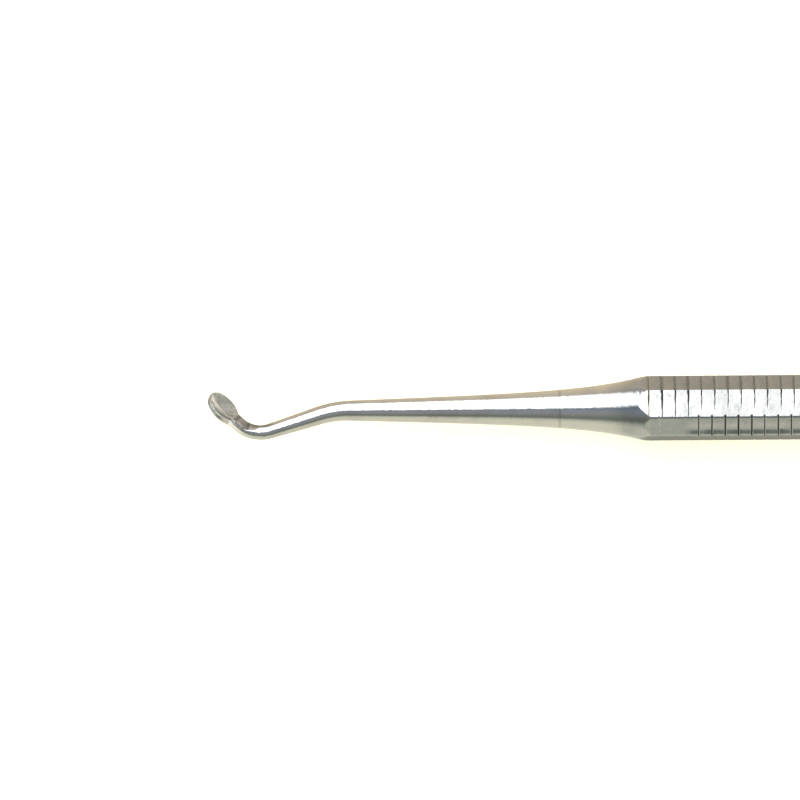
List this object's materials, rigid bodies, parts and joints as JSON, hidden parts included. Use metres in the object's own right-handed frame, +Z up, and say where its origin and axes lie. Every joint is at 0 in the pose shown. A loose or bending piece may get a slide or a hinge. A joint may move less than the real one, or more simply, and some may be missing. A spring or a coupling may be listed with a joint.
{
  "type": "dental elevator",
  "caption": "Slim double-ended dental hand instrument: octagonal handle with sawn grip cuts, flared ferrules, and tapered, twice-bent shanks that end in small oval spoons.",
  "frame": {"origin": "middle of the facet that the handle lies on, half way along the handle", "axes": "+X along the handle, +Z up out of the facet opposite the one it lies on, +Y across the handle, the way the two spoons point after the last bend of their shanks"},
  "size_m": [0.1704, 0.006, 0.006],
  "materials": {
    "handle_steel": "polished stainless steel tube, with facet edges left crisp and sawn cuts left matt",
    "ferrule_steel": "turned and polished stainless steel",
    "working_steel": "hand-polished hardened stainless steel, satin in the bowl",
    "braze_silver": "silver braze filler, dressed flush"
  },
  "bodies": {
    "root": {"handle_tube": "handle_steel", "left_end_ferrule": "ferrule_steel", "right_end_ferrule": "ferrule_steel", "left_working_end": "working_steel", "right_working_end": "working_steel", "left_tube_braze_ring": "braze_silver", "right_tube_braze_ring": "braze_silver", "left_tang_braze_ring": "braze_silver", "right_tang_braze_ring": "braze_silver"}
  },
  "joints": []
}
